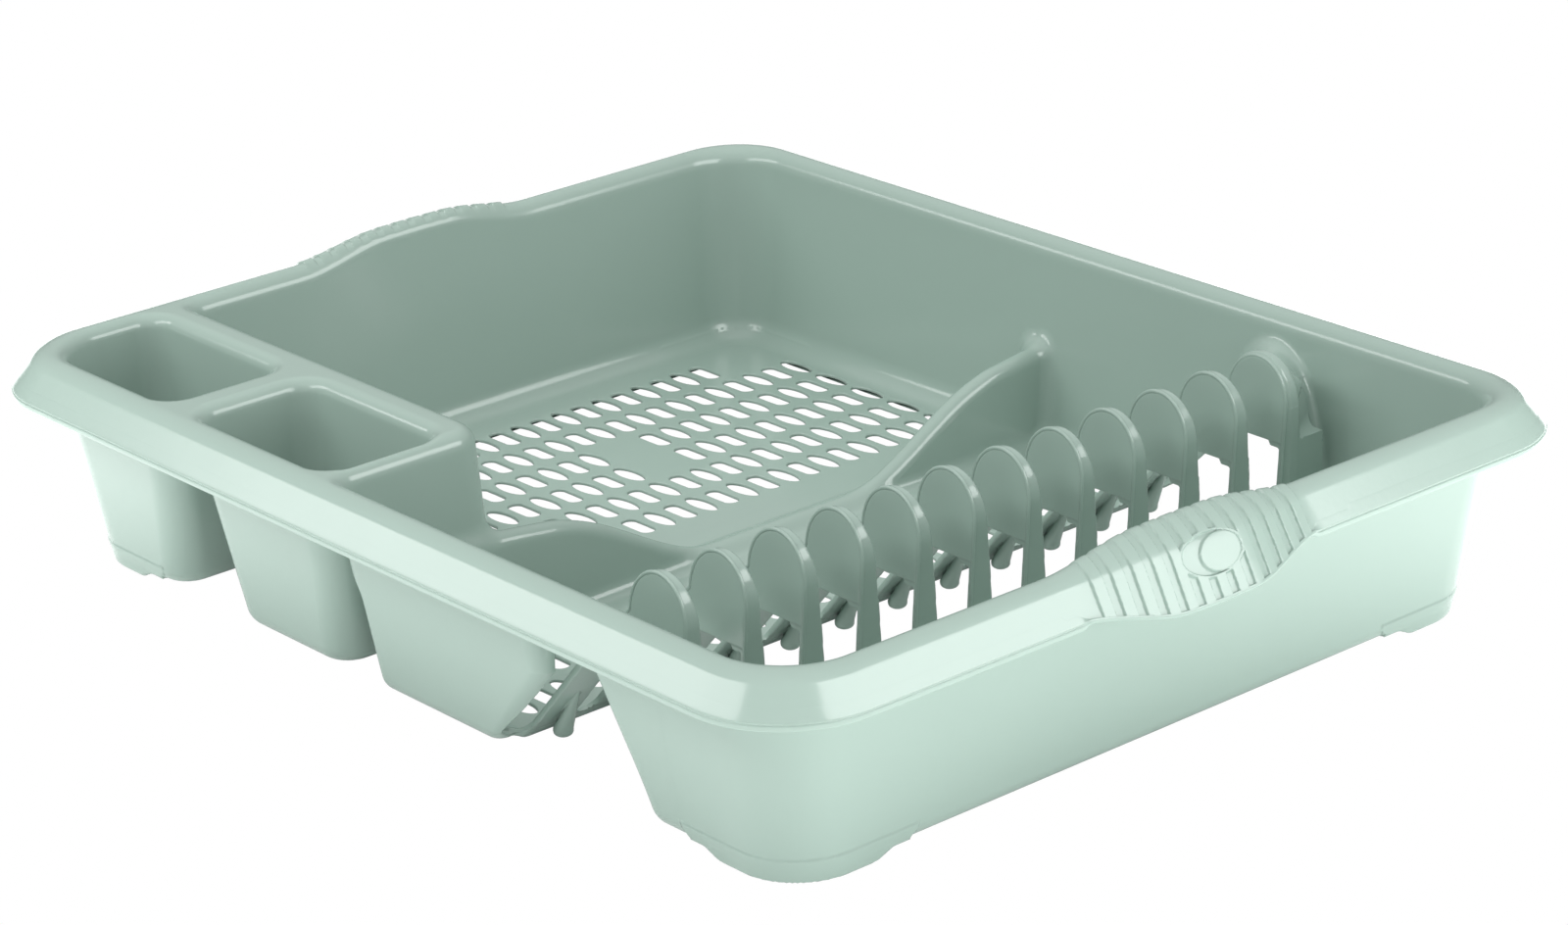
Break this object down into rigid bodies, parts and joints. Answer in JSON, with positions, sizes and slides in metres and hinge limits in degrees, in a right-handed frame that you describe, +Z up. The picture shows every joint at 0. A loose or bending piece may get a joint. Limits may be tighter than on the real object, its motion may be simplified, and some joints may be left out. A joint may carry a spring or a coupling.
{
  "type": "dish drying rack",
  "caption": "One-piece moulded dish drying rack with a slotted basin, cutlery cups, a wavy divider and a row of plate fins.",
  "frame": {"origin": "centre of the footprint, on the surface that the four corner feet stand on", "axes": "+X along the length towards the plate fins, +Y towards the plain long wall opposite the cutlery cups, +Z up"},
  "size_m": [0.4836, 0.383, 0.0907],
  "materials": {
    "sage_plastic": "glossy moulded polypropylene"
  },
  "bodies": {
    "root": {"rim_front": "sage_plastic", "rim_back": "sage_plastic", "grip_left": "sage_plastic", "grip_right": "sage_plastic", "wall_left": "sage_plastic", "wall_back": "sage_plastic", "wall_right": "sage_plastic", "wall_front": "sage_plastic", "bridge_front": "sage_plastic", "bridge_back": "sage_plastic", "basin_front_skin": "sage_plastic", "cup_deck": "sage_plastic", "cutlery_cup_1": "sage_plastic", "cutlery_cup_2": "sage_plastic", "basin_floor": "sage_plastic", "wave_divider": "sage_plastic", "trough_floor": "sage_plastic", "rack_floor": "sage_plastic", "rack_web": "sage_plastic", "web_ribs": "sage_plastic", "rack_boss_front": "sage_plastic", "rack_boss_back": "sage_plastic", "divider_pilaster": "sage_plastic", "foot_front_left": "sage_plastic", "foot_front_right": "sage_plastic", "foot_back_left": "sage_plastic", "foot_back_right": "sage_plastic", "plate_fin_01": "sage_plastic", "plate_fin_02": "sage_plastic", "plate_fin_03": "sage_plastic", "plate_fin_04": "sage_plastic", "plate_fin_05": "sage_plastic", "plate_fin_06": "sage_plastic", "plate_fin_07": "sage_plastic", "plate_fin_08": "sage_plastic", "plate_fin_09": "sage_plastic", "plate_fin_10": "sage_plastic", "plate_fin_11": "sage_plastic", "plate_fin_12": "sage_plastic"}
  },
  "joints": []
}
